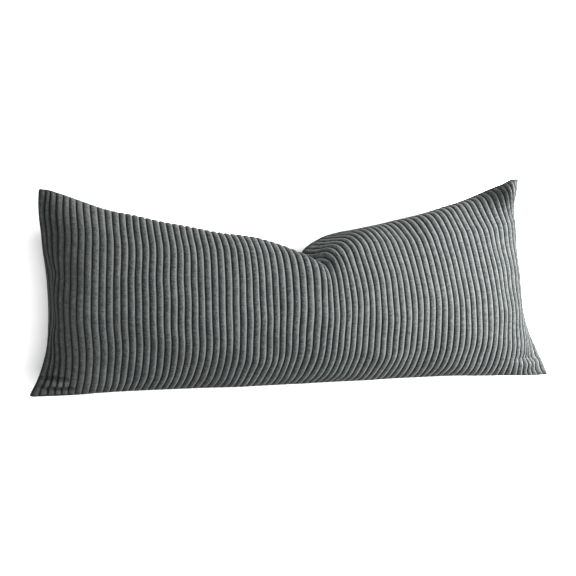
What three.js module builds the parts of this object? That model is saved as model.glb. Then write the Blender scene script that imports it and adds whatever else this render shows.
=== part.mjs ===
// A long lumbar pillow in wide-wale corduroy, lying on its back.
// X runs along the pillow, Y from its bottom edge to its dented top edge, and Z up out of its face.
// Sizes are in millimetres.
import * as THREE from 'three';

// Cover: one facet column for each wale of the corduroy.
const WALES = 82;
const WALE_PITCH = 11.15;
const COVER_LENGTH = WALES * WALE_PITCH;
const COVER_HEIGHT = 356; // cloth from the bottom seam to the top seam

// Lie: the seam stays at this height, and the back settles flat on the surface below it.
const SEAM_HEIGHT = 76;
const SETTLE_ROUND = 16; // how gradually the back turns flat
const TALLEST = 341; // bottom edge to the tip of the right top corner
const BACK_LOWER = 0.8; // how far the back's top shoulder stays below the face's, as a share of sink
const BACK_SLIDE = 0.3; // how far the back's wales slide between the seams, as a share of the face's
const LIP = 2; // half the thickness of the two sewn cloths just inside the seam
const FACET_ROWS = 27;
const CLOTH = { color: 0x5c6464, roughness: 0.92, metalness: 0 };

// What the cover measures at a wale, counted from the left side:
// crown   how far the face stands out of the seam plane
// back    how far the back would stand out if nothing flattened it
// top     height of the top shoulder above the bottom edge
// belly   height of the fullest point
// sink    how far the top seam lies below the shoulder
// lowRound, topRound   how the section turns in at each edge: 2 is a knife edge, 1 is round
// lowSlide, midSlide, topSlide   how far the cloth slides to the right at the edge, belly and top
// sway    how far it also swings to the right below the belly, and to the left above it
const STATIONS = [
  ['wale', 'crown', 'back', 'top', 'belly', 'sink', 'lowRound', 'topRound',
    'lowSlide', 'midSlide', 'topSlide', 'sway'],
  [0, 0, 0, 332, 165, 0, 1.9, 1.7, 0, 0, 0, 0],
  [1, 11, 13, 331, 165, 0, 1.8, 1.6, 3, -5.2, 0, -1],
  [2, 21, 25, 329.5, 165, 0, 1.8, 1.55, 4, -8, -3, -3.5],
  [4, 40, 46, 322, 161, 3, 1.8, 1.5, 3, -8.2, -4, -5.5],
  [6, 53, 62, 314.5, 157, 6, 1.75, 1.4, 3, -7.6, -3, -5.5],
  [10, 66, 78, 299, 149, 12, 1.65, 1.25, 4, -5.3, 3, -4.5],
  [16, 77, 92, 283.5, 141, 18, 1.65, 1.1, 2, -2, 9, -3],
  [24, 86, 102, 265.5, 135, 22, 1.65, 1.02, 2, 1.4, 15, -1.7],
  [33, 91, 108, 246.5, 131, 26, 1.62, 0.95, 2, 5.6, 21, -0.5],
  [38, 94, 109, 233, 131, 26, 1.6, 0.7, 2, 7.3, 22, -1.5],
  [40, 95, 109, 222, 131, 22, 1.6, 0.5, 0, 8.8, 26, -0.7],
  [41.4, 96, 108, 211.5, 131, 18, 1.6, 0.35, 0, 11.5, 25, -1.5],
  [43, 97, 108, 208, 133, 14, 1.6, 0.45, 0, 13.9, 12, -2.5],
  [45, 97.5, 109, 225.5, 136, 16, 1.57, 0.55, -1, 15.7, 0, -3],
  [49, 96, 109, 248, 141, 19, 1.55, 0.7, -1, 15.1, -3, -2],
  [58, 88, 106, 270, 147, 22, 1.5, 1, 0, 15, 3, 1],
  [66, 79, 100, 289, 151, 22, 1.35, 1.1, 0, 14.1, 14, 4],
  [73, 66, 86, 310, 155, 13, 1.3, 1.2, 5, 9.8, 20, 5],
  [78, 43, 56, 330.5, 161, 4, 1.3, 1.2, 7, -2, 23, 3],
  [80, 27, 34, 337, 163, 0, 1.4, 1.2, 3, -10, 17, 1],
  [82, 0, 0, TALLEST, 165, 0, 1.7, 1.7, 0, 0, 0, 0],
];

// How far each side is drawn in from its bottom corner, at a share of the way up the side seam.
const SIDES = [
  ['up', 'left', 'right'],
  [0, 0, 0],
  [0.1, 13.5, 12],
  [0.22, 26, 32],
  [0.36, 33, 47],
  [0.55, 31, 57],
  [0.75, 20.5, 65],
  [0.9, 14.3, 65.5],
  [1, 14.8, 57],
];

// Where the whole cover bends forward: the right top ear, and the pinch in the dent.
// wale, up   the middle of the bend, and how far over the cloth it reaches
// right, forward   how far the middle moves
const BENDS = [
  { wale: 80, up: 0.97, reach: 50, right: -15, forward: 46 },
  { wale: 43.8, up: 0.96, reach: 42, right: -13, forward: 36 },
];

/** A smooth reading of a named column of a table whose first column is the place. */
function reader(table) {
  const [names, ...rows] = table;
  const places = rows.map((row) => row[0]);
  const columns = {};
  names.slice(1).forEach((name, index) => {
    const values = rows.map((row) => row[index + 1]);
    columns[name] = { values, slopes: slopes(places, values) };
  });
  return (name, place) => hermite(places, columns[name].values, columns[name].slopes, place);
}

function slopes(places, values) {
  const steps = values.slice(1).map((value, i) => (value - values[i]) / (places[i + 1] - places[i]));
  const inner = steps.slice(1).map((step, i) => {
    const before = places[i + 1] - places[i];
    const after = places[i + 2] - places[i + 1];
    return (steps[i] * after + step * before) / (before + after);
  });
  const first = 1.5 * steps[0] - 0.5 * inner[0];
  const last = 1.5 * steps.at(-1) - 0.5 * inner.at(-1);
  return [first, ...inner, last];
}

function hermite(places, values, tangents, place) {
  const next = places.findIndex((p) => p > place);
  const i = next < 0 ? places.length - 2 : Math.max(next - 1, 0);
  const span = places[i + 1] - places[i];
  const t = (place - places[i]) / span;
  return (2 * t ** 3 - 3 * t ** 2 + 1) * values[i] + (t ** 3 - 2 * t ** 2 + t) * span * tangents[i]
    + (3 * t ** 2 - 2 * t ** 3) * values[i + 1] + (t ** 3 - t ** 2) * span * tangents[i + 1];
}

const station = reader(STATIONS);
const side = reader(SIDES);

/** One wale's line from the bottom seam to the top seam, as [height, depth] at equal steps of cloth. */
function waleSection(wale, bulge) {
  const SAMPLES = 160;
  const crown = Math.max(station(bulge, wale), 0);
  const belly = station('belly', wale);
  const lower = bulge === 'back' ? BACK_LOWER * station('sink', wale) : 0;
  const top = station('top', wale) - lower;
  const sink = station('sink', wale) - lower;
  const line = [];
  for (let i = 0; i <= SAMPLES; i++) {
    const turn = Math.PI * i / SAMPLES;
    const across = Math.max(Math.sin(turn), 0);
    const upper = turn > Math.PI / 2;
    const reach = upper ? top - belly : belly;
    const dip = upper ? sink * (1 - across) ** 2 : 0;
    const round = station(upper ? 'topRound' : 'lowRound', wale);
    line.push([belly - reach * Math.cos(turn) - dip, crown * across ** round]);
  }
  const shoulder = Math.max(...line.map(([height]) => height));
  const stretch = (top - belly) / (shoulder - belly);
  for (const point of line) {
    if (point[0] > belly) point[0] = belly + (point[0] - belly) * stretch;
  }
  return equalSteps(line, FACET_ROWS);
}

/** Points at equal distances along a line of [a, b] pairs. */
function equalSteps(line, count) {
  const travelled = [0];
  for (let i = 1; i < line.length; i++) {
    travelled.push(travelled[i - 1] + Math.hypot(line[i][0] - line[i - 1][0], line[i][1] - line[i - 1][1]));
  }
  const points = [];
  let i = 1;
  for (let n = 0; n <= count; n++) {
    const target = travelled.at(-1) * n / count;
    while (i < line.length - 1 && travelled[i] < target) i++;
    const t = (target - travelled[i - 1]) / (travelled[i] - travelled[i - 1]);
    points.push([0, 1].map((axis) => line[i - 1][axis] + t * (line[i][axis] - line[i - 1][axis])));
  }
  return points;
}

/** The cover's panel as rows of [x, height, depth], spaced so that the cloth keeps its length. */
function panel(bulge) {
  const sections = Array.from({ length: WALES + 1 }, (_, wale) => waleSection(wale, bulge));
  const rows = [];
  for (let n = 0; n <= FACET_ROWS; n++) {
    const up = n / FACET_ROWS;
    const run = [0];
    for (let wale = 1; wale <= WALES; wale++) {
      const rise = sections[wale][n][1] - sections[wale - 1][n][1];
      run.push(run[wale - 1] + Math.sqrt(Math.max(WALE_PITCH ** 2 - rise ** 2, (0.3 * WALE_PITCH) ** 2)));
    }
    const left = -COVER_LENGTH / 2 + side('left', up);
    const right = COVER_LENGTH / 2 - side('right', up);
    rows.push(run.map((along, wale) => {
      const swing = station('midSlide', wale) * (4 * up * (1 - up)) ** 0.8
        + station('sway', wale) * Math.sin(2 * Math.PI * up);
      const slide = station('lowSlide', wale) * (1 - up) ** 8
        + station('topSlide', wale) * up ** 2
        + swing * (bulge === 'back' ? BACK_SLIDE : 1);
      return [left + (right - left) * along / run[WALES] + slide, ...sections[wale][n]];
    }));
  }
  return rows;
}

/** How deep the back hangs once the surface below has flattened it. */
function settled(depth) {
  const gap = Math.max(SETTLE_ROUND - Math.abs(depth - SEAM_HEIGHT), 0);
  return Math.min(depth, SEAM_HEIGHT) - gap ** 2 / (4 * SETTLE_ROUND);
}

/** How far right and forward the cover is bent at a wale and a share of the way up. */
function bent(wale, up) {
  const shares = BENDS.map((bend) => {
    const across = (wale - bend.wale) * WALE_PITCH;
    const along = (up - bend.up) * COVER_HEIGHT;
    return Math.exp(-(across ** 2 + along ** 2) / bend.reach ** 2);
  });
  const total = (name) => BENDS.reduce((sum, bend, i) => sum + bend[name] * shares[i], 0);
  return [total('right'), total('forward')];
}

function filledCover() {
  const positions = [];
  const faces = [];
  const place = (n, wale, x, height, z) => {
    const [right, forward] = bent(wale, n / FACET_ROWS);
    return positions.push(x + right, height - TALLEST / 2, z + forward) / 3 - 1;
  };
  const onSeam = (n, wale) => n === 0 || n === FACET_ROWS || wale === 0 || wale === WALES;
  const face = panel('crown').map((row, n) => row.map(([x, y, depth], wale) => (
    place(n, wale, x, y, onSeam(n, wale) ? SEAM_HEIGHT : SEAM_HEIGHT + LIP + depth))));
  // The back shares the seam all round with the face.
  const back = panel('back').map((row, n) => row.map(([x, y, depth], wale) => (
    onSeam(n, wale) ? face[n][wale] : place(n, wale, x, y, SEAM_HEIGHT - settled(LIP + depth)))));
  for (let n = 0; n < FACET_ROWS; n++) {
    for (let wale = 0; wale < WALES; wale++) {
      const quad = (grid) => [grid[n][wale], grid[n][wale + 1], grid[n + 1][wale + 1], grid[n + 1][wale]];
      // Each diagonal points at the nearest corner, so that no facet lies wholly on the seam.
      const turned = n < FACET_ROWS / 2 === wale < WALES / 2 ? 0 : 1;
      const facets = (grid, order) => order.map((i) => quad(grid)[(i + turned) % 4]);
      faces.push(...facets(face, [0, 1, 2, 0, 2, 3]), ...facets(back, [0, 2, 1, 0, 3, 2]));
    }
  }
  const geometry = new THREE.BufferGeometry();
  geometry.setAttribute('position', new THREE.Float32BufferAttribute(positions, 3));
  geometry.setIndex(faces);
  geometry.computeVertexNormals();
  return geometry;
}

const group = new THREE.Group();
const pillow = new THREE.Mesh(filledCover(), new THREE.MeshStandardMaterial(CLOTH));
pillow.name = 'pillow';
group.add(pillow);
export default group;
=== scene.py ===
"""A long lumbar pillow in wide-wale corduroy, lying on its back.

X runs along the pillow, Y from its straight bottom edge to its dented top edge, Z up out of its face.
The cover is cut flat as two panels, laid over its filling, given its folds and wales, and sewn together.
Lengths in the tables are in millimetres, and everything in Blender is in metres.
"""

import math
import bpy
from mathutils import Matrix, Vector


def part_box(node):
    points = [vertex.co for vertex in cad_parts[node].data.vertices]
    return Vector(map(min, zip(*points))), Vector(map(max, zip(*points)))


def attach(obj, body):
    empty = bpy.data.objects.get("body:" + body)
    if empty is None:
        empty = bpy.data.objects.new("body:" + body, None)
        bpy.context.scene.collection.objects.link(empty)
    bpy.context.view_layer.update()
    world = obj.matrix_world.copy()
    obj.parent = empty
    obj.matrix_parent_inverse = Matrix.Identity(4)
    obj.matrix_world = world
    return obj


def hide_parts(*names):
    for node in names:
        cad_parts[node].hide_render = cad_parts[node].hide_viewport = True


bl_info = {
    "name": "Corduroy lumbar pillow",
    "version": (1, 0, 0),
    "blender": (4, 5, 0),
    "location": "3D View > Sidebar > Pillow",
    "description": "Makes a filled corduroy pillow and the studio that it lies in",
    "category": "Object",
}

import bpy
import numpy as np
from bpy.props import FloatProperty, FloatVectorProperty, IntProperty, PointerProperty
from mathutils import Matrix, Vector

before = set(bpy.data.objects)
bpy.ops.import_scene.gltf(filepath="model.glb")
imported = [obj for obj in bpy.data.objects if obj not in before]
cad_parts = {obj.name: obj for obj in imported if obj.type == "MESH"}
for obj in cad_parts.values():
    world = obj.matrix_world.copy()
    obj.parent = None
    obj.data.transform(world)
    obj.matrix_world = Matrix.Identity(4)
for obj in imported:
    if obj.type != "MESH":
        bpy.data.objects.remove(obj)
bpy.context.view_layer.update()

MM = 0.001
PILLOW = "pillow"
LOW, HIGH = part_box(PILLOW)
WALES = 82

# ---------------------------------------------------------------------------------------------------
# The filled cover's shape
# ---------------------------------------------------------------------------------------------------

# What the cover measures at a wale, counted from the left side:
# crown: how far the face stands out of the seam plane; back: the same behind, if nothing flattened it
# top: height of the top shoulder over the bottom edge; belly: height of the fullest point
# sink: how far the top seam lies below the shoulder
# low_round, top_round: how the section turns in at each edge, 2 for a knife edge and 1 for a round one
# low_slide, mid_slide, top_slide: how far the cloth slides to the right at the edge, belly and top
# sway: how far it also swings to the right below the belly, and to the left above it
# tuck: how far its top end is pulled to the right at the seam; foot: how far the bottom edge rises
STATIONS = (
    ("wale", "crown", "back", "top", "belly", "sink", "low_round", "top_round", "low_slide",
     "mid_slide", "top_slide", "sway", "tuck", "foot"),
    (0, 0, 0, 332, 165, 0, 1.9, 1.7, 0, 0, 0, 0, 0, -4.3),
    (1, 11, 13, 331, 165, 0, 1.8, 1.6, 3, -5.2, 0, -1, 0, -4.3),
    (2, 21, 25, 329.5, 165, 0, 1.8, 1.55, 4, -8, -3, -3.5, 0, -4.3),
    (4, 40, 46, 322, 161, 3, 1.8, 1.5, 3, -8.2, -4, -5.5, 2, -4.3),
    (6, 53, 62, 314.5, 157, 6, 1.75, 1.4, 3, -7.6, -3, -5.5, 2, -3.8),
    (10, 66, 78, 299, 149, 12, 1.65, 1.25, 4, -5.3, 3, -4.5, 2, -1.6),
    (16, 77, 92, 283.5, 141, 18, 1.65, 1.1, 2, -2, 9, -3, 2, -0.5),
    (24, 86, 102, 265.5, 135, 22, 1.65, 1.02, 2, 1.4, 15, -1.7, 1, -0.8),
    (33, 91, 108, 248.5, 131, 26, 1.62, 0.95, 2, 5.6, 21, -0.5, 5, -1),
    (38, 94, 109, 233, 131, 26, 1.6, 0.7, 2, 7.3, 22, -1.5, 21, -0.5),
    (40, 95, 109, 222, 131, 22, 1.6, 0.5, 0, 8.8, 26, -0.7, 28, 0),
    (41.4, 96, 108, 211.5, 131, 18, 1.6, 0.35, 0, 11.5, 25, -1.5, 22, 0),
    (43, 97, 108, 208, 133, 14, 1.6, 0.45, 0, 13.9, 12, -2.5, -8, 0.2),
    (45, 97.5, 109, 225.5, 136, 16, 1.57, 0.55, -1, 15.7, 0, -3, -17, 0.3),
    (49, 96, 109, 248, 141, 19, 1.55, 0.7, -1, 15.1, -3, -2, -26, 0.8),
    (58, 88, 106, 270, 147, 22, 1.5, 1, 0, 15, 3, 1, -22, 2.8),
    (66, 79, 100, 289, 151, 22, 1.35, 1.1, 0, 14.1, 14, 4, -20, 2.8),
    (73, 66, 86, 310, 155, 13, 1.3, 1.2, 5, 9.8, 20, 5, -20, -0.6),
    (78, 43, 56, 330.5, 161, 4, 1.3, 1.2, 7, -2, 23, 3, -22, -1.5),
    (80, 27, 34, 338.5, 163, 0, 1.4, 1.2, 3, -10, 17, 1, -15, -1.5),
    (82, 0, 0, 341, 165, 0, 1.7, 1.7, 0, 0, 0, 0, 0, -1),
)

# How far each side is drawn in from its bottom corner, at a share of the way up the side seam.
SIDES = (
    ("up", "left", "right"),
    (0, 0, 0),
    (0.1, 13.5, 12),
    (0.22, 26, 32),
    (0.36, 33, 47),
    (0.55, 31, 57),
    (0.75, 20.5, 65),
    (0.9, 14.3, 65.5),
    (1, 14.8, 57),
)

# Folds and pinches in the face, each along a line on the cloth from one wale and share of the way up
# to another. depth is positive for a trough, and push is how far the wales swing to the right across it.
FOLDS = (
    ("wale", "up", "to_wale", "to_up", "width", "depth", "push"),
    # The pinched ear at the left bottom corner
    (-0.5, 0.092, 4.4, 0.088, 3, 13, 0),
    (0.4, 0.064, 4.2, 0.062, 4.5, -6, 0),
    (1.4, 0.036, 5.6, 0.037, 3, 13, 0),
    # Dents where the left side is drawn in
    (0, 0.6, 3.2, 0.58, 15, 2, 0.5),
    (0, 0.36, 3.2, 0.36, 14, 2, 0.6),
    # Creases that run out of the dent into the right lobe
    (45.2, 0.84, 48, 0.67, 6, -1.5, -2),
    (47.4, 0.84, 50.4, 0.68, 6, -1.5, -1.5),
    # The ear at the right bottom corner
    (74.5, 0.125, 81.5, 0.105, 5, 3.5, 0),
    (77, 0.078, 81.5, 0.078, 5, -1.5, 1.7),
    (77, 0.04, 81.5, 0.04, 4, 1, -1),
)

# How the ears and the pinch in the dent bend: the cloth moves right, up and forward by these, less and
# less over its reach.
EARS = (
    ("wale", "up", "reach", "right", "upward", "forward"),
    (80, 0.97, 50, -15, 0, 46),
    (82, 1, 15, -2, 0.5, 0),
    (82, 0, 32, 5, -2, 0),
    (0, 0, 22, -4, 0, 0),
    (43.8, 0.96, 42, -13, 0, 36),
)

# Where the mesh's columns lie in each wale, from 0 in one valley to 1 in the next.
COLUMNS_PER_WALE = (0, 0.07, 0.17, 0.32, 0.5, 0.68, 0.83, 0.93)

# Rows of the mesh, and the share of the way up that each reaches: close together at seams and creases.
ROW_PLAN = ((0, 0), (3, 0.01), (26, 0.12), (52, 0.78), (70, 0.99), (74, 1))

SECTION_SAMPLES = 160  # points round half a section, from which its length is measured
BACK_SLIDE = 0.3  # how far the back's wales slide between the seams, as a share of the face's
BACK_LOWER = 0.8  # how far the back's top shoulder stays below the face's, as a share of sink
STEEPEST = 0.3  # the least share of its width that a wale may keep where the cover is steep

# How fast each slide dies away from its place, as a power: a higher one keeps it nearer.
LOW_SLIDE_FADE = 8
MID_SLIDE_FADE = 0.8
TOP_SLIDE_FADE = 2
TUCK_FADE = 24
FOOT_FADE = 3

FOLD_ENDS = 0.35  # the strength of a fold at its two ends, against 1 halfway along
PUSH_SPREAD = 1.6  # how much wider than a fold's trough the wales swing

WAVES = 8  # how many slow waves make the cloth uneven
WAVE_LENGTHS = (0.06, 0.17)  # the shortest and the longest of them, in metres
WOBBLE_SEED = 3
LUMPS_SEED = 5

CREST_FLATNESS = 2.8  # a higher power makes a broader crest and a narrower valley
THIN_RELIEF = 0.75  # the most of the half thickness under it that a valley may take
LYING_SHARE = 0.995  # the back lies on the floor from this share of the seam's height
LYING_RELIEF = 0.5  # how much of its depth a valley keeps there
ON_SEAM = 1e-6  # points nearer to the edge than this, in millimetres, are on the seam
TINY = 1e-9  # keeps a length of nothing from being divided by
SEWING_DISTANCE = 1e-6  # points of the two panels nearer together than this, in metres, become one


def smooth_reading(table, name, places):
    """A named column of a table, read smoothly between the places in its first column."""
    column = table[0].index(name)
    rows = np.array(table[1:], float)
    at, value = rows[:, 0], rows[:, column]
    span = np.diff(at)
    step = np.diff(value) / span
    slope = np.empty_like(value)
    slope[1:-1] = (step[:-1] * span[1:] + step[1:] * span[:-1]) / (span[:-1] + span[1:])
    slope[0] = 1.5 * step[0] - 0.5 * slope[1]
    slope[-1] = 1.5 * step[-1] - 0.5 * slope[-2]
    i = np.clip(np.searchsorted(at, places, side="right") - 1, 0, len(span) - 1)
    t = (places - at[i]) / span[i]
    return (
        (2 * t**3 - 3 * t**2 + 1) * value[i]
        + (t**3 - 2 * t**2 + t) * span[i] * slope[i]
        + (3 * t**2 - 2 * t**3) * value[i + 1]
        + (t**3 - t**2) * span[i] * slope[i + 1]
    )


def wale_sections(wale, up, bulge):
    """Height and depth of each wale from the bottom seam to the top seam, at shares of its cloth."""
    crown = np.maximum(smooth_reading(STATIONS, bulge, wale), 0)
    top = smooth_reading(STATIONS, "top", wale)
    belly = smooth_reading(STATIONS, "belly", wale)
    sink = smooth_reading(STATIONS, "sink", wale)
    if bulge == "back":
        top = top - BACK_LOWER * sink
        sink = sink * (1 - BACK_LOWER)
    low_round = smooth_reading(STATIONS, "low_round", wale)
    top_round = smooth_reading(STATIONS, "top_round", wale)
    turn = np.linspace(0, math.pi, SECTION_SAMPLES)[:, None]
    across = np.maximum(np.sin(turn), 0)
    upper = turn > math.pi / 2
    dip = np.where(upper, sink * (1 - across) ** 2, 0)
    height = belly - np.where(upper, top - belly, belly) * np.cos(turn) - dip
    depth = crown * across ** np.where(upper, top_round, low_round)
    stretch = (top - belly) / (height.max(axis=0) - belly)
    height = np.where(height > belly, belly + (height - belly) * stretch, height)
    step = np.hypot(np.diff(height, axis=0), np.diff(depth, axis=0))
    travelled = np.vstack([np.zeros(len(wale)), np.cumsum(step, axis=0)])
    travelled /= travelled[-1]
    line = range(len(wale))
    return (
        np.stack([np.interp(up, travelled[:, i], height[:, i]) for i in line], 1),
        np.stack([np.interp(up, travelled[:, i], depth[:, i]) for i in line], 1),
    )


def filled_panel(wale, up, bulge, sizes):
    """One panel's points over the seam plane as (rows, columns, 3) in millimetres."""
    height, depth = wale_sections(wale, up, bulge)
    width = sizes.wale_pitch / MM * np.diff(wale)
    run = np.sqrt(np.maximum(width**2 - np.diff(depth, axis=1) ** 2, (STEEPEST * width) ** 2))
    along = np.hstack([np.zeros((len(up), 1)), np.cumsum(run, axis=1)])
    along /= along[:, -1:]
    half = sizes.wales * sizes.wale_pitch / MM / 2
    left = (smooth_reading(SIDES, "left", up) - half)[:, None]
    right = (half - smooth_reading(SIDES, "right", up))[:, None]
    rise = up[:, None]
    slide = (
        smooth_reading(STATIONS, "low_slide", wale) * (1 - rise) ** LOW_SLIDE_FADE
        + smooth_reading(STATIONS, "top_slide", wale) * rise**TOP_SLIDE_FADE
        + smooth_reading(STATIONS, "tuck", wale) * rise**TUCK_FADE
    )
    swing = (
        smooth_reading(STATIONS, "mid_slide", wale) * (4 * rise * (1 - rise)) ** MID_SLIDE_FADE
        + smooth_reading(STATIONS, "sway", wale) * np.sin(2 * math.pi * rise)
    )
    slide += swing * (BACK_SLIDE if bulge == "back" else 1)
    height += smooth_reading(STATIONS, "foot", wale) * (1 - rise) ** FOOT_FADE
    return np.stack([left + (right - left) * along + slide, height, depth], -1)


def settled(depth, sizes):
    """How deep the back hangs once the surface below has flattened it."""
    limit = sizes.seam_height / MM
    round_off = sizes.settle_round / MM
    gap = np.maximum(round_off - np.abs(depth - limit), 0)
    return np.minimum(depth, limit) - gap**2 / (4 * round_off)


# ---------------------------------------------------------------------------------------------------
# The cloth on that shape: seam, folds and wales
# ---------------------------------------------------------------------------------------------------


def cloth_places(sizes):
    """Places of the mesh's columns, in wales from the left, and rows, as shares of the way up."""
    wale = (np.arange(sizes.wales)[:, None] + np.array(COLUMNS_PER_WALE)).ravel()
    rows, reached = zip(*ROW_PLAN)
    return np.append(wale, sizes.wales), np.interp(np.arange(rows[-1] + 1), rows, reached)


def from_seam(wale, up, sizes):
    """Distance over the cloth to the nearest seam, in millimetres."""
    beside = np.minimum(wale, sizes.wales - wale) * sizes.wale_pitch / MM
    above = np.minimum(up, 1 - up) * sizes.cover_height / MM
    return np.minimum(beside[None, :], above[:, None])


def rounded_corners(points, wale, up, sizes):
    """Draws the four corners of a panel in, from square to round."""
    radius = sizes.corner_radius / MM
    beside = wale * sizes.wale_pitch / MM
    above = up * sizes.cover_height / MM
    left = np.maximum(1 - beside / radius, 0)
    right = np.maximum(1 - (beside[-1] - beside) / radius, 0)
    low = np.maximum(1 - above / radius, 0)
    high = np.maximum(1 - (above[-1] - above) / radius, 0)
    across = (right - left)[None, :]
    along = (high - low)[:, None]
    drawn = points.copy()
    drawn[..., 0] += radius * across * (np.sqrt(1 - along**2 / 2) - 1)
    drawn[..., 1] += radius * along * (np.sqrt(1 - across**2 / 2) - 1)
    return drawn


def outward(points):
    """Unit normals of a (rows, columns, 3) sheet whose columns run right and rows run up."""
    normal = np.cross(np.gradient(points, axis=1), np.gradient(points, axis=0))
    return normal / np.linalg.norm(normal, axis=-1, keepdims=True)


def pressed_folds(wale, up, sizes):
    """How deep each fold presses the face in, and how far it pushes the wales to the right."""
    across = wale[None, :] * sizes.wale_pitch / MM
    rise = up[:, None] * sizes.cover_height / MM
    depth = np.zeros((len(up), len(wale)))
    push = np.zeros_like(depth)
    for wale_0, up_0, wale_1, up_1, width, deep, swing in FOLDS[1:]:
        start = np.array((wale_0 * sizes.wale_pitch, up_0 * sizes.cover_height)) / MM
        way = np.array((wale_1 * sizes.wale_pitch, up_1 * sizes.cover_height)) / MM - start
        length = np.hypot(*way)
        along = ((across - start[0]) * way[0] + (rise - start[1]) * way[1]) / length**2
        aside = ((rise - start[1]) * way[0] - (across - start[0]) * way[1]) / length
        beyond = np.maximum(np.abs(along - 0.5) - 0.5, 0) * length
        swell = np.sqrt(np.cos(math.pi * (np.clip(along, 0, 1) - 0.5)))
        reach = np.exp(-((beyond / width) ** 2)) * np.maximum(swell, FOLD_ENDS)
        depth += deep * reach * np.exp(-((aside / width) ** 2))
        push += swing * reach * np.exp(-((aside / (PUSH_SPREAD * width)) ** 2))
    return depth, push


def bent_ears(wale, up, sizes):
    """How far each point of both panels moves where the ears and the pinch bend, in millimetres."""
    move = np.zeros((len(up), len(wale), 3))
    for ear_wale, ear_up, reach, *way in EARS[1:]:
        across = (wale[None, :] - ear_wale) * sizes.wale_pitch / MM
        along = (up[:, None] - ear_up) * sizes.cover_height / MM
        move += np.exp(-(across**2 + along**2) / reach**2)[..., None] * np.array(way)
    return move


def slow_waves(wale, up, sizes, seed):
    """Gentle unevenness over a panel, mostly between -1 and 1."""
    draw = np.random.default_rng(seed)
    across = wale[None, :] * sizes.wale_pitch
    rise = up[:, None] * sizes.cover_height
    total = np.zeros((len(up), len(wale)))
    for _ in range(WAVES):
        turn = draw.uniform(0, math.pi)
        length = draw.uniform(*WAVE_LENGTHS)
        along = (across * math.cos(turn) + rise * math.sin(turn)) / length
        total += np.sin(2 * math.pi * (along + draw.uniform()))
    return total / math.sqrt(WAVES)


def wale_height(wale):
    """Height of the pile across each wale, from 0 in the valley to 1 on the crest."""
    off_crest = np.abs(2 * (wale % 1) - 1)
    return np.sqrt(1 - off_crest**CREST_FLATNESS)


def valley_relief(points, wale, away, sizes):
    """How far a panel sinks between its wales: less where it is thin, lying, or close to a seam."""
    room = THIN_RELIEF * np.abs(points[..., 2])
    relief = np.minimum(sizes.wale_depth / MM * (1 - wale_height(wale)), room)
    lying = -points[..., 2] > LYING_SHARE * sizes.seam_height / MM
    relief = np.where(lying, LYING_RELIEF * relief, relief)
    return relief * np.minimum(away / (sizes.flat_edge / MM), 1)


def plain_panels(wale, up, away, sizes):
    """The face and the back before their wales, with the edges turned in and the folds pressed in."""
    lip = sizes.lip / MM
    turn_in = 1 - np.minimum(away / lip, 1)
    edge = lip * np.sqrt(1 - turn_in**2)
    face = rounded_corners(filled_panel(wale, up, "crown", sizes), wale, up, sizes)
    back = rounded_corners(filled_panel(wale, up, "back", sizes), wale, up, sizes)
    face[..., 2] += edge
    back[..., 2] = -settled(back[..., 2] + edge, sizes)
    depth, push = pressed_folds(wale, up, sizes)
    push += slow_waves(wale, up, sizes, WOBBLE_SEED) * sizes.wobble / MM
    depth += slow_waves(wale, up, sizes, LUMPS_SEED) * sizes.lumps / MM
    face[..., 0] += push * (1 - turn_in)
    face -= outward(face) * (depth * (1 - turn_in))[..., None]
    return face, back


def clothed_panels(sizes):
    """The face and the back as (rows, columns, 3) in millimetres over the seam plane, wales included."""
    wale, up = cloth_places(sizes)
    away = from_seam(wale, up, sizes)
    on_seam = away < ON_SEAM
    face, back = plain_panels(wale, up, away, sizes)
    face_out, back_out = outward(face), -outward(back)
    side_on = face_out + back_out
    side_on /= np.linalg.norm(side_on, axis=-1, keepdims=True) + TINY
    bent = bent_ears(wale, up, sizes)
    panels = []
    for points, normal in ((face, face_out), (back, back_out)):
        points = points - normal * valley_relief(points, wale, away, sizes)[..., None]
        points[on_seam] -= side_on[on_seam] * sizes.seam_groove / MM
        points[on_seam, 2] = 0
        panels.append(points + bent)
    return wale, up, panels[0], panels[1]


# ---------------------------------------------------------------------------------------------------
# Making the mesh
# ---------------------------------------------------------------------------------------------------


def active_object():
    """The object that the last operator made or worked on."""
    return bpy.context.view_layer.objects.active


def deselect_all():
    """Leaves nothing selected, so that the next operator acts on its own object only."""
    bpy.ops.object.select_all(action="DESELECT")


def cut_panel(name, points, wale, up, faces_up):
    """A flat grid of cloth, laid onto the panel's points, with a UV map that follows the cloth."""
    columns, rows = len(wale) - 1, len(up) - 1
    deselect_all()
    bpy.ops.mesh.primitive_grid_add(x_subdivisions=columns, y_subdivisions=rows, size=1, calc_uvs=False)
    panel = active_object()
    panel.name = name
    flat = np.empty(len(panel.data.vertices) * 3)
    panel.data.vertices.foreach_get("co", flat)
    flat = flat.reshape(-1, 3)
    column = np.rint((flat[:, 0] + 0.5) * columns).astype(int)
    row = np.rint((flat[:, 1] + 0.5) * rows).astype(int)
    panel.data.vertices.foreach_set("co", points[row, column].ravel())
    corner = np.empty(len(panel.data.loops), int)
    panel.data.loops.foreach_get("vertex_index", corner)
    cloth = panel.data.uv_layers.new(name="cloth")
    place = np.stack([wale[column] / wale[-1], up[row]], -1)
    cloth.uv.foreach_set("vector", place[corner].ravel())
    if not faces_up:
        panel.data.flip_normals()
    return panel


def sew(panels, name):
    """Joins the panels and merges the seam all round."""
    deselect_all()
    for panel in panels:
        panel.select_set(True)
    bpy.context.view_layer.objects.active = panels[0]
    bpy.ops.object.join()
    cover = active_object()
    cover.name = cover.data.name = name
    bpy.ops.object.mode_set(mode="EDIT")
    bpy.ops.mesh.select_all(action="SELECT")
    bpy.ops.mesh.remove_doubles(threshold=SEWING_DISTANCE)
    bpy.ops.object.mode_set(mode="OBJECT")
    bpy.ops.object.shade_smooth()
    return cover


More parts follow.
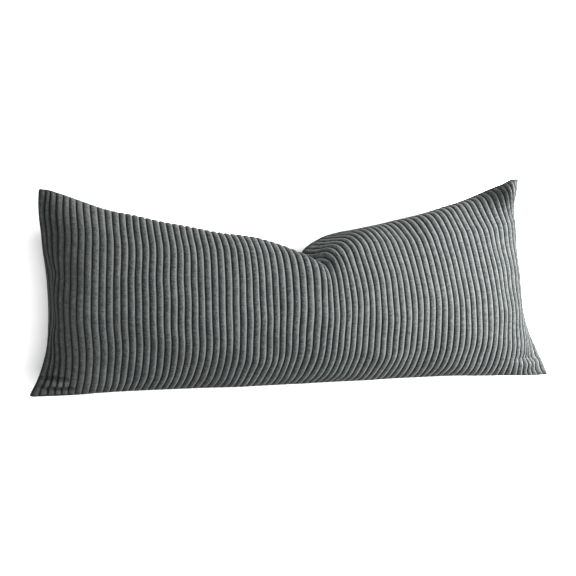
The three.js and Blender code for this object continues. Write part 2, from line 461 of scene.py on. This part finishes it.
class PILLOW_OT_cover(bpy.types.Operator):
    """Cut the face and the back, lay them on the filling, and sew them together"""

    bl_idname = "pillow.cover"
    bl_label = "Filled cover"

    def execute(self, context):
        sizes = context.scene.pillow_sizes
        wale, up, face, back = clothed_panels(sizes)
        seam_origin = np.array(Vector(((LOW.x + HIGH.x) / 2, LOW.y, sizes.seam_height)))
        placed = [points * MM + seam_origin for points in (face, back)]
        for points in placed:
            points[..., 2] = np.maximum(points[..., 2], 0)
        panels = [
            cut_panel("face", placed[0], wale, up, faces_up=True),
            cut_panel("back", placed[1], wale, up, faces_up=False),
        ]
        cover = sew(panels, "filled_cover")
        cover.data.materials.append(corduroy(context.scene.pillow_cloth, sizes))
        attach(cover, "root")
        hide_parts(PILLOW)
        return {"FINISHED"}


# ---------------------------------------------------------------------------------------------------
# Materials
# ---------------------------------------------------------------------------------------------------

# Where the corduroy changes, as shares of the way across or up the cloth, and from what to what.
END_WALES = (0.03, 0.11)  # across: the wales of the left end, turned away from the key light, get wider painted shade in their valleys
VALLEY_POWERS = (0.9, 3.2)  # a higher power makes a narrower band of painted shade in the valley
SEAM_SHADE = (0.004, 0.02)  # in from the bottom and top seams: painted shade where the cloth turns in at the seam
SEAM_SHADE_DARK = (0.9, 0.0)
BOTTOM_SHADE = (0.015, 0.085)  # up from the bottom seam: painted shade where the cloth turns under at the bottom edge
BOTTOM_SHADE_DARK = (0.45, 0.0)
HIGHLIGHT_FADE = (0.04, 0.16)  # across: the painted highlight shows less on the left end, which faces away from the key light
HIGHLIGHT_LEFT = 0.25  # how much of it shows there
HIGHLIGHT_POWER = 5.0  # a higher power keeps the painted highlight nearer to a wale's right side
HIGHLIGHT_MEAN = 0.17  # the mean that this power gives, so that the painted highlight leaves the cloth as dark as it was

BLOTCH_SCALE = 150.0
TUFT_SCALE = 480.0
GRAIN_ROUGHNESS = 0.6
RIB_JUMP = 7.3  # how far apart in the rib noise two wales are, so that no two are alike
SHADE_BASE = -0.2
BLOTCH_SHADE = 0.55
TUFT_SHADE = 0.7
RIB_SHADE = 0.25
DARK_END, LIGHT_END = 0.25, 0.75  # the shades that get the dark and the light pile colour
RIB_RELIEF = 0.5  # height of the ribs against the tufts, in the bump


class Nodes:
    """A short way to place and wire shader nodes in one material."""

    def __init__(self, material):
        material.use_nodes = True
        self.tree = material.node_tree
        self.shader = self.tree.nodes["Principled BSDF"]

    def add(self, kind, **settings):
        """A new node, with its sockets and settings given by name."""
        node = self.tree.nodes.new(kind)
        for name, value in settings.items():
            if name in node.inputs:
                node.inputs[name].default_value = value
            else:
                setattr(node, name, value)
        return node

    def link(self, output, target):
        """A wire from an output to an input."""
        self.tree.links.new(output, target)

    def math(self, operation, first, second=None, third=None):
        """One sum on numbers or outputs."""
        node = self.add("ShaderNodeMath", operation=operation)
        for socket, value in zip(node.inputs, (first, second, third)):
            if value is None:
                continue
            if isinstance(value, (int, float)):
                socket.default_value = value
            else:
                self.link(value, socket)
        return node.outputs[0]

    def ramp(self, value, between, reach):
        """A value that runs over reach while the input runs between its two limits."""
        node = self.add("ShaderNodeMapRange")
        for name, number in zip(("From Min", "From Max", "To Min", "To Max"), (*between, *reach)):
            node.inputs[name].default_value = number
        self.link(value, node.inputs["Value"])
        return node.outputs[0]

    def mix(self, factor, first, second):
        """The first colour mixed with the second."""
        node = self.add("ShaderNodeMix", data_type="RGBA")
        sockets = [socket for socket in node.inputs if socket.enabled]
        for socket, value in zip(sockets, (factor, first, second)):
            if isinstance(value, bpy.types.NodeSocket):
                self.link(value, socket)
            else:
                socket.default_value = value
        return next(socket for socket in node.outputs if socket.enabled)


def opaque(colour):
    """The colour with an alpha of 1."""
    return (*colour, 1)


def corduroy(cloth, sizes):
    """Dark wide-wale corduroy: a valley between rounded ridges of mottled pile, with painted shade in
    the valleys, along the seams and near the bottom, and a painted highlight on the right of each wale.
    """
    material = bpy.data.materials.new("corduroy")
    nodes = Nodes(material)
    place = nodes.add("ShaderNodeUVMap", uv_map="cloth").outputs["UV"]
    parts = nodes.add("ShaderNodeSeparateXYZ")
    nodes.link(place, parts.inputs[0])
    across = nodes.math("MULTIPLY", parts.outputs["X"], float(sizes.wales))
    in_wale = nodes.math("FRACT", across)
    # Painted shade in the valleys between the wales, wider on the left end.
    middle = nodes.math("ABSOLUTE", nodes.math("MULTIPLY_ADD", in_wale, 2.0, -1.0))
    narrow = nodes.ramp(parts.outputs["X"], END_WALES, VALLEY_POWERS)
    valley = nodes.math("POWER", middle, narrow)
    from_top = nodes.math("SUBTRACT", 1.0, parts.outputs["Y"])
    # Painted shade along the bottom and top seams.
    seam_shade = nodes.ramp(nodes.math("MINIMUM", parts.outputs["Y"], from_top), SEAM_SHADE, SEAM_SHADE_DARK)
    # Painted shade in a band up from the bottom seam, darkest at the seam.
    bottom_shade = nodes.ramp(parts.outputs["Y"], BOTTOM_SHADE, BOTTOM_SHADE_DARK)
    # All the painted shade together: the valleys, the seams and the band near the bottom.
    ground_and_painted_shade = nodes.math("MAXIMUM", nodes.math("MAXIMUM", valley, seam_shade), bottom_shade)

    solid = nodes.add("ShaderNodeTexCoord").outputs["Object"]
    blotch = nodes.add("ShaderNodeTexNoise", Scale=BLOTCH_SCALE, Detail=3.0, Roughness=GRAIN_ROUGHNESS)
    nodes.link(solid, blotch.inputs["Vector"])
    tuft = nodes.add("ShaderNodeTexNoise", Scale=TUFT_SCALE, Detail=2.0, Roughness=GRAIN_ROUGHNESS)
    nodes.link(solid, tuft.inputs["Vector"])

    rib_place = nodes.add("ShaderNodeCombineXYZ")
    nodes.link(nodes.math("MULTIPLY", nodes.math("FLOOR", across), RIB_JUMP), rib_place.inputs["X"])
    rib_up = nodes.math("MULTIPLY", parts.outputs["Y"], sizes.cover_height / sizes.rib_pitch)
    nodes.link(rib_up, rib_place.inputs["Y"])
    ribs = nodes.add("ShaderNodeTexNoise", Scale=1.0, Detail=1.0)
    nodes.link(rib_place.outputs[0], ribs.inputs["Vector"])

    shade = nodes.math("MULTIPLY_ADD", blotch.outputs["Fac"], BLOTCH_SHADE, SHADE_BASE)
    shade = nodes.math("MULTIPLY_ADD", tuft.outputs["Fac"], TUFT_SHADE, shade)
    shade = nodes.math("MULTIPLY_ADD", ribs.outputs["Fac"], RIB_SHADE, shade)
    # Painted highlight and shade: each wale's pile is painted lighter on its right, where the key light
    # falls, and darker over the rest of it.
    painted_highlight = nodes.ramp(parts.outputs["X"], HIGHLIGHT_FADE, (HIGHLIGHT_LEFT * cloth.painted_highlight, cloth.painted_highlight))
    lit = nodes.math("SUBTRACT", nodes.math("POWER", in_wale, HIGHLIGHT_POWER), HIGHLIGHT_MEAN)
    shade = nodes.math("MULTIPLY_ADD", lit, painted_highlight, shade)
    pile = nodes.add("ShaderNodeValToRGB")
    ends = ((DARK_END, cloth.pile_dark), (LIGHT_END, cloth.pile_light))
    for stop, (position, colour) in zip(pile.color_ramp.elements, ends):
        stop.position = position
        stop.color = opaque(colour)
    nodes.link(shade, pile.inputs[0])
    # The painted shade mixes the pile towards the valley colour.
    cloth_colour = nodes.mix(ground_and_painted_shade, pile.outputs[0], opaque(cloth.valley))
    nodes.link(cloth_colour, nodes.shader.inputs["Base Color"])

    height = nodes.math("MULTIPLY_ADD", ribs.outputs["Fac"], RIB_RELIEF, tuft.outputs["Fac"])
    bump = nodes.add("ShaderNodeBump", Strength=0.6, Distance=0.0012)
    nodes.link(height, bump.inputs["Height"])
    nodes.link(bump.outputs[0], nodes.shader.inputs["Normal"])

    nodes.shader.inputs["Roughness"].default_value = 0.95
    nodes.shader.inputs["Specular IOR Level"].default_value = 0.1
    nodes.shader.inputs["Sheen Weight"].default_value = cloth.sheen
    nodes.shader.inputs["Sheen Roughness"].default_value = 0.35
    nodes.shader.inputs["Sheen Tint"].default_value = opaque(cloth.sheen_tint)
    return material


def pale_floor(studio):
    """Matt white paper that also glows a little, so that shadows on it stay soft."""
    material = bpy.data.materials.new("pale_floor")
    shader = Nodes(material).shader
    shader.inputs["Base Color"].default_value = opaque(studio.floor_colour)
    shader.inputs["Roughness"].default_value = 1.0
    shader.inputs["Specular IOR Level"].default_value = 0.0
    shader.inputs["Emission Color"].default_value = opaque(studio.floor_colour)
    shader.inputs["Emission Strength"].default_value = studio.floor_glow
    return material


# ---------------------------------------------------------------------------------------------------
# Studio
# ---------------------------------------------------------------------------------------------------


WHITE = (1, 1, 1)


def panel_light(name, size, power, colour, place, aim):
    """A square soft light at a place, turned to face the aim."""
    deselect_all()
    bpy.ops.object.light_add(type="AREA", location=place)
    light = active_object()
    light.name = name
    light.data.size = size
    light.data.energy = power
    light.data.color = colour
    light.rotation_mode = "QUATERNION"
    light.rotation_quaternion = (Vector(aim) - Vector(place)).to_track_quat("-Z", "Y")
    light.visible_camera = False
    return light


def stand_camera(studio):
    """The camera looks down on the face, with the pillow's dented edge at the top of its view."""
    deselect_all()
    bpy.ops.object.camera_add()
    camera = active_object()
    turn, lift = studio.camera_turn, studio.camera_lift
    back = Vector((-math.sin(turn) * math.cos(lift), math.sin(lift), math.cos(turn) * math.cos(lift)))
    right = Vector((math.cos(turn), 0, math.sin(turn)))
    up = back.cross(right)
    aim = Vector(studio.camera_aim)
    from_aim = back * studio.camera_distance + right * studio.camera_slide
    towards = from_aim.normalized()
    right = up.cross(towards).normalized()
    up = towards.cross(right)
    facing = Matrix((right, up, towards)).transposed().to_4x4()
    camera.matrix_world = Matrix.Translation(aim + from_aim) @ facing
    camera.data.lens = studio.camera_lens
    camera.data.clip_end = 100
    bpy.context.scene.camera = camera


class PILLOW_OT_studio(bpy.types.Operator):
    """Lay a pale floor, hang the soft lights and stand the camera"""

    bl_idname = "pillow.studio"
    bl_label = "Studio"

    def execute(self, context):
        studio = context.scene.pillow_studio
        deselect_all()
        bpy.ops.mesh.primitive_plane_add(size=studio.floor_size, location=(0, 0, 0))
        floor = active_object()
        floor.name = "floor"
        floor.data.materials.append(pale_floor(studio))

        world = bpy.data.worlds.new("studio")
        world.use_nodes = True
        sky = world.node_tree.nodes["Background"]
        sky.inputs["Color"].default_value = opaque(studio.sky_colour)
        sky.inputs["Strength"].default_value = studio.sky_strength
        context.scene.world = world

        middle = (0, 0, HIGH.z / 2)
        key_look = (studio.key_size, studio.key_power, studio.key_colour)
        soft_look = (studio.soft_size, studio.soft_power, WHITE)
        panel_light("key", *key_look, studio.key_place, middle)
        panel_light("overhead", *soft_look, studio.soft_place, middle)
        stand_camera(studio)
        context.scene.view_settings.view_transform = "Standard"
        return {"FINISHED"}


# ---------------------------------------------------------------------------------------------------
# Sizes, colours and the sidebar
# ---------------------------------------------------------------------------------------------------


class PillowSizes(bpy.types.PropertyGroup):
    """Sizes of the filled cover"""

    wales: IntProperty(
        name="Wales",
        description="Ridges across the cover",
        default=WALES,
        min=WALES,
        max=WALES,
    )
    wale_pitch: FloatProperty(
        name="Wale pitch",
        description="From one wale to the next",
        default=(HIGH.x - LOW.x) / WALES,
        unit="LENGTH",
        precision=5,
    )
    wale_depth: FloatProperty(
        name="Wale depth",
        description="From the crest of the pile to the bottom of the valley",
        default=0.0031,
        unit="LENGTH",
        precision=5,
    )
    cover_height: FloatProperty(
        name="Cover height",
        description="Length of cloth in one wale",
        default=0.356,
        unit="LENGTH",
    )
    rib_pitch: FloatProperty(
        name="Rib pitch",
        description="Between the faint ribs that cross a wale",
        default=0.0022,
        unit="LENGTH",
        precision=5,
    )
    seam_height: FloatProperty(
        name="Seam height",
        description="Height of the seam over the floor",
        default=0.076,
        unit="LENGTH",
    )
    settle_round: FloatProperty(
        name="Settled edge",
        description="How gradually the back turns flat",
        default=0.016,
        unit="LENGTH",
    )
    flat_edge: FloatProperty(
        name="Flat edge",
        description="Width of the border at the seam where the wales rise",
        default=0.012,
        unit="LENGTH",
    )
    lip: FloatProperty(
        name="Lip",
        description="Radius of the cloth turned in at the seam",
        default=0.007,
        unit="LENGTH",
    )
    corner_radius: FloatProperty(
        name="Corner radius",
        description="How round the corners are sewn",
        default=0.006,
        unit="LENGTH",
    )
    wobble: FloatProperty(
        name="Wobble",
        description="How far the wales stray to each side",
        default=0.0006,
        unit="LENGTH",
        precision=5,
    )
    lumps: FloatProperty(
        name="Lumps",
        description="How uneven the filling is under the face",
        default=0.001,
        unit="LENGTH",
        precision=5,
    )
    seam_groove: FloatProperty(
        name="Seam groove",
        description="How far the stitching draws the seam in",
        default=0.002,
        unit="LENGTH",
    )


class PillowCloth(bpy.types.PropertyGroup):
    """Colours of the corduroy"""

    # The dark and light ends of the pile's random mottle. The painted highlight also moves each wale's
    # right side towards the light end and the rest of the wale towards the dark end.
    pile_dark: FloatVectorProperty(
        name="Dark pile",
        description="Pile that leans away",
        default=(0.0175, 0.0220, 0.0218),
        subtype="COLOR",
    )
    pile_light: FloatVectorProperty(
        name="Light pile",
        description="Pile that stands up",
        default=(0.0850, 0.0883, 0.0885),
        subtype="COLOR",
    )
    # The ground between the wales, painted nearly black to stand in for the shade in the valleys. The
    # painted shade along the seams and the bottom takes this colour too.
    valley: FloatVectorProperty(
        name="Valley",
        description="Ground between the wales",
        default=(0.0020, 0.0026, 0.0026),
        subtype="COLOR",
    )
    # Painted highlight: how much lighter the pile is painted on the right of a wale, where the key light
    # falls.
    painted_highlight: FloatProperty(
        name="Nap",
        description="How much lighter the pile is on the right of a wale",
        default=1.3,
    )
    sheen: FloatProperty(
        name="Sheen",
        description="Bloom of the pile",
        default=0.04,
        min=0,
        max=1,
        subtype="FACTOR",
    )
    sheen_tint: FloatVectorProperty(
        name="Sheen tint",
        description="Colour of the bloom",
        default=(0.80, 0.82, 0.815),
        subtype="COLOR",
    )


class PillowStudio(bpy.types.PropertyGroup):
    """The floor, the lights and the camera"""

    floor_size: FloatProperty(
        name="Floor",
        description="Side of the floor",
        default=14,
        unit="LENGTH",
    )
    floor_colour: FloatVectorProperty(
        name="Floor colour",
        description="Pale paper",
        default=(0.9, 0.9, 0.9),
        subtype="COLOR",
    )
    floor_glow: FloatProperty(
        name="Floor glow",
        description="Light that comes up through the floor",
        default=0.3,
    )
    sky_colour: FloatVectorProperty(
        name="Sky colour",
        description="Light from all round",
        default=WHITE,
        subtype="COLOR",
    )
    sky_strength: FloatProperty(
        name="Sky",
        description="Strength of the light all round",
        default=0.12,
    )
    key_size: FloatProperty(
        name="Key size",
        description="Side of the key light",
        default=0.6,
        unit="LENGTH",
    )
    key_power: FloatProperty(
        name="Key power",
        description="Power of the key light",
        default=111,
        unit="POWER",
    )
    key_colour: FloatVectorProperty(
        name="Key colour",
        description="A slightly warm white",
        default=(1, 0.975, 0.965),
        subtype="COLOR",
    )
    key_place: FloatVectorProperty(
        name="Key place",
        description="Where the key light hangs",
        default=(1.07, 0.18, 0.69),
        subtype="XYZ",
        unit="LENGTH",
    )
    soft_size: FloatProperty(
        name="Overhead size",
        description="Side of the overhead light",
        default=3.2,
        unit="LENGTH",
    )
    soft_power: FloatProperty(
        name="Overhead power",
        description="Power of the overhead light",
        default=136,
        unit="POWER",
    )
    soft_place: FloatVectorProperty(
        name="Overhead place",
        description="Where the overhead light hangs",
        default=(0, 0, 2.6),
        subtype="XYZ",
        unit="LENGTH",
    )
    camera_turn: FloatProperty(
        name="Camera turn",
        description="How far it stands to the left of straight over the face",
        default=math.radians(20),
        subtype="ANGLE",
    )
    camera_lift: FloatProperty(
        name="Camera lift",
        description="How far it stands towards the dented edge",
        default=math.radians(4.2),
        subtype="ANGLE",
    )
    camera_distance: FloatProperty(
        name="Camera distance",
        description="From the point that it looks at",
        default=3.8,
        unit="LENGTH",
    )
    camera_slide: FloatProperty(
        name="Camera slide",
        description="How far it stands to the right",
        default=0.026,
        unit="LENGTH",
    )
    camera_lens: FloatProperty(
        name="Lens",
        description="Focal length in millimetres",
        default=142,
        unit="CAMERA",
    )
    camera_aim: FloatVectorProperty(
        name="Camera aim",
        description="The point in the middle of the view",
        default=(-0.015, -0.010, 0.067),
        subtype="XYZ",
        unit="LENGTH",
    )


class PILLOW_PT_sidebar(bpy.types.Panel):
    """Sizes and colours of the pillow and its studio"""

    bl_label = "Pillow"
    bl_idname = "PILLOW_PT_sidebar"
    bl_space_type = "VIEW_3D"
    bl_region_type = "UI"
    bl_category = "Pillow"

    def draw(self, context):
        for group, operator in (
            (context.scene.pillow_sizes, "pillow.cover"),
            (context.scene.pillow_cloth, None),
            (context.scene.pillow_studio, "pillow.studio"),
        ):
            box = self.layout.box()
            for name in group.__annotations__:
                box.prop(group, name)
            if operator:
                box.operator(operator)


CLASSES = (PillowSizes, PillowCloth, PillowStudio, PILLOW_OT_cover, PILLOW_OT_studio, PILLOW_PT_sidebar)


def register():
    for cls in CLASSES:
        bpy.utils.register_class(cls)
    bpy.types.Scene.pillow_sizes = PointerProperty(type=PillowSizes)
    bpy.types.Scene.pillow_cloth = PointerProperty(type=PillowCloth)
    bpy.types.Scene.pillow_studio = PointerProperty(type=PillowStudio)


def unregister():
    del bpy.types.Scene.pillow_studio
    del bpy.types.Scene.pillow_cloth
    del bpy.types.Scene.pillow_sizes
    for cls in reversed(CLASSES):
        bpy.utils.unregister_class(cls)


def main():
    register()
    bpy.ops.pillow.cover()
    bpy.ops.pillow.studio()


if __name__ == "__main__":
    main()
